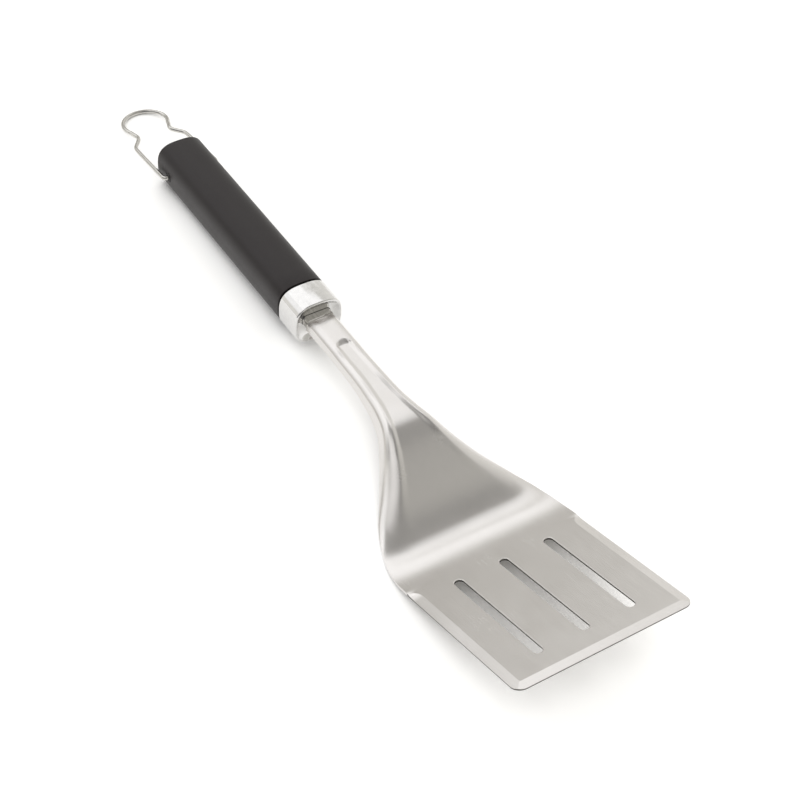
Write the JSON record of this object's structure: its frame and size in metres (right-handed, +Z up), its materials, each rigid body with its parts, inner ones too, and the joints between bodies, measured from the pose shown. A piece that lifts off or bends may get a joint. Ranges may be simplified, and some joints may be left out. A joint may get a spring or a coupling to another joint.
{
  "type": "grill spatula",
  "caption": "Slotted pressed-steel turner with ground edges, dished neck, chrome ferrule, soft-touch grip and a swinging wire hanging loop.",
  "frame": {"origin": "middle of the footprint on the surface the tool rests on, lying on its heel and the rear of its grip", "axes": "+Y from the blade's front edge to the hanging loop, +X across the blade, +Z up from the surface"},
  "size_m": [0.1, 0.4746, 0.036],
  "materials": {
    "brushed_steel": "brushed stainless steel",
    "polished_steel": "polished stainless steel",
    "chrome": "bright chrome plate",
    "soft_touch": "matt soft-touch",
    "moulded_core": "moulded nylon",
    "gasket_rubber": "dull black rubber",
    "zinc_fastener": "zinc-plated steel"
  },
  "bodies": {
    "tool": {"blade_and_shank": "brushed_steel", "tang_bar": "zinc_fastener", "neck_collar": "polished_steel", "ferrule": "chrome", "ferrule_gasket": "gasket_rubber", "handle_core_upper": "moulded_core", "handle_core_lower": "moulded_core", "core_screw_1": "zinc_fastener", "core_screw_2": "zinc_fastener", "tang_washer": "zinc_fastener", "tang_lock_washer": "zinc_fastener", "tang_nut": "zinc_fastener", "grip_sleeve": "soft_touch", "end_cap": "moulded_core", "loop_bush_left": "moulded_core", "loop_bush_right": "moulded_core"},
    "loop": {"hanging_loop": "polished_steel"}
  },
  "joints": [
    {"name": "loop_swing", "type": "hinge", "parent": "tool", "child": "loop", "pos_m": [0, 0.16232, 0.01311], "axis": [1, 0, 0], "range_deg": [-144, 158]}
  ]
}
